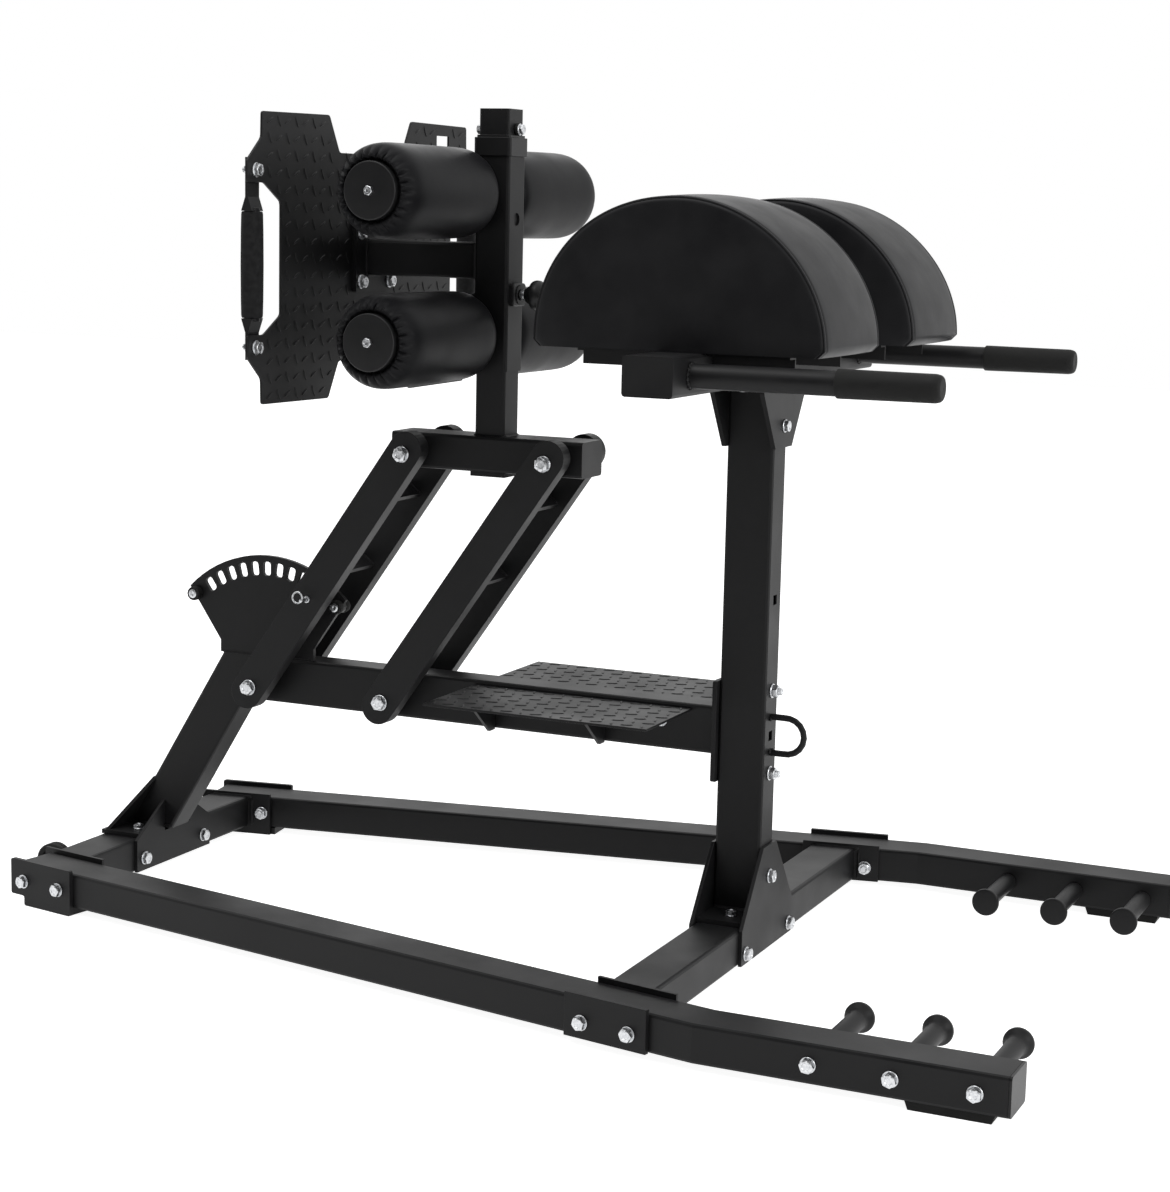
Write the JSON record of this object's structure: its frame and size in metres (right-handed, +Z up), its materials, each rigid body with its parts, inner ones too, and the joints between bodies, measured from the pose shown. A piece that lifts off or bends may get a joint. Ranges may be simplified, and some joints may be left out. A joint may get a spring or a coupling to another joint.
{
  "type": "glute ham developer",
  "caption": "Free-standing glute ham developer with split half-moon thigh pads, ankle rollers on a swinging parallel linkage, foot plate, handles, steps and band pegs.",
  "frame": {"origin": "on the floor under the middle of the machine's length and width", "axes": "+X forward along the machine's length to the hand grips, +Y to the left, +Z up"},
  "size_m": [1.8934, 1.156, 1.3759],
  "materials": {
    "black_powder_coat": "matte black powder coat",
    "zinc": "bright zinc plate",
    "black_vinyl": "satin black vinyl over foam",
    "black_foam": "matte foam",
    "black_rubber": "matte rubber",
    "black_plastic": "satin plastic"
  },
  "bodies": {
    "frame": {"right_base_rail": "black_powder_coat", "left_base_rail": "black_powder_coat", "right_rail_end_cap": "black_plastic", "left_rail_end_cap": "black_plastic", "front_crossmember": "black_powder_coat", "rear_crossmember": "black_powder_coat", "right_front_clamp_plate": "black_powder_coat", "left_front_clamp_plate": "black_powder_coat", "right_rear_clamp_plate": "black_powder_coat", "left_rear_clamp_plate": "black_powder_coat", "right_front_foot": "black_rubber", "left_front_foot": "black_rubber", "right_rear_band_peg": "black_powder_coat", "left_rear_band_peg": "black_powder_coat", "right_middle_band_peg": "black_powder_coat", "left_middle_band_peg": "black_powder_coat", "right_front_band_peg": "black_powder_coat", "left_front_band_peg": "black_powder_coat", "rear_strut": "black_powder_coat", "strut_gusset": "black_powder_coat", "beam": "black_powder_coat", "sector_plate": "black_powder_coat", "right_step_plate": "black_powder_coat", "left_step_plate": "black_powder_coat", "main_post": "black_powder_coat", "front_post_gusset": "black_powder_coat", "rear_post_gusset": "black_powder_coat", "band_ring": "black_powder_coat", "crossbar": "black_powder_coat", "right_handle": "black_powder_coat", "left_handle": "black_powder_coat", "right_handle_grip": "black_rubber", "left_handle_grip": "black_rubber", "right_thigh_pad": "black_vinyl", "left_thigh_pad": "black_vinyl", "rear_lower_pivot_bolt": "zinc", "front_lower_pivot_bolt": "zinc"},
    "right_wheel": {"right_transport_wheel": "black_rubber"},
    "left_wheel": {"left_transport_wheel": "black_rubber"},
    "rear_link": {"rear_link": "black_powder_coat"},
    "front_link": {"front_link": "black_powder_coat"},
    "lock_pin": {"lock_pin": "zinc"},
    "carriage": {"carriage": "black_powder_coat", "travel_stop_bolt": "zinc", "rear_upper_pivot_bolt": "zinc", "front_upper_pivot_bolt": "zinc"},
    "slider": {"sleeve": "black_powder_coat", "sleeve_guide": "black_plastic", "upper_roller_axle": "zinc", "lower_roller_axle": "zinc", "foot_plate": "black_powder_coat", "right_side_handle": "black_powder_coat", "left_side_handle": "black_powder_coat", "right_side_grip": "black_foam", "left_side_grip": "black_foam"},
    "height_pin": {"height_pin": "black_plastic"},
    "right_upper_roller": {"right_upper_roller": "black_vinyl"},
    "left_upper_roller": {"left_upper_roller": "black_vinyl"},
    "right_lower_roller": {"right_lower_roller": "black_vinyl"},
    "left_lower_roller": {"left_lower_roller": "black_vinyl"}
  },
  "joints": [
    {"name": "rear_link_swing", "type": "hinge", "parent": "frame", "child": "rear_link", "pos_m": [-0.56965, 0, 0.371], "axis": [0, 1, 0], "range_deg": [-70, 0]},
    {"name": "front_link_swing", "type": "hinge", "parent": "frame", "child": "front_link", "pos_m": [-0.30565, 0, 0.371], "axis": [0, 1, 0], "range_deg": [-70, 0]},
    {"name": "carriage_level", "type": "hinge", "parent": "rear_link", "child": "carriage", "pos_m": [-0.26852, 0, 0.80105], "axis": [0, 1, 0], "range_deg": [0, 70]},
    {"name": "lock_pin_slide", "type": "slide", "parent": "rear_link", "child": "lock_pin", "axis": [0, 1, 0], "range_m": [0, 0.012]},
    {"name": "sleeve_slide", "type": "slide", "parent": "carriage", "child": "slider", "axis": [0, 0, 1], "range_m": [-0.1, 0]},
    {"name": "height_pin_slide", "type": "slide", "parent": "slider", "child": "height_pin", "axis": [1, 0, 0], "range_m": [-0.009, 0]},
    {"name": "right_upper_roller_spin", "type": "hinge", "parent": "slider", "child": "right_upper_roller", "pos_m": [-0.18115, 0, 1.237], "axis": [0, 1, 0], "continuous": true},
    {"name": "right_lower_roller_spin", "type": "hinge", "parent": "slider", "child": "right_lower_roller", "pos_m": [-0.18115, 0, 1.003], "axis": [0, 1, 0], "continuous": true},
    {"name": "right_wheel_spin", "type": "hinge", "parent": "frame", "child": "right_wheel", "pos_m": [-0.91465, 0, 0.036], "axis": [0, 1, 0], "continuous": true},
    {"name": "left_upper_roller_spin", "type": "hinge", "parent": "slider", "child": "left_upper_roller", "pos_m": [-0.18115, 0, 1.237], "axis": [0, 1, 0], "continuous": true},
    {"name": "left_lower_roller_spin", "type": "hinge", "parent": "slider", "child": "left_lower_roller", "pos_m": [-0.18115, 0, 1.003], "axis": [0, 1, 0], "continuous": true},
    {"name": "left_wheel_spin", "type": "hinge", "parent": "frame", "child": "left_wheel", "pos_m": [-0.91465, 0, 0.036], "axis": [0, 1, 0], "continuous": true}
  ],
  "couplings": [
    {"joint": "front_link_swing", "follows": "rear_link_swing", "ratio": 1},
    {"joint": "carriage_level", "follows": "rear_link_swing", "ratio": -1}
  ]
}
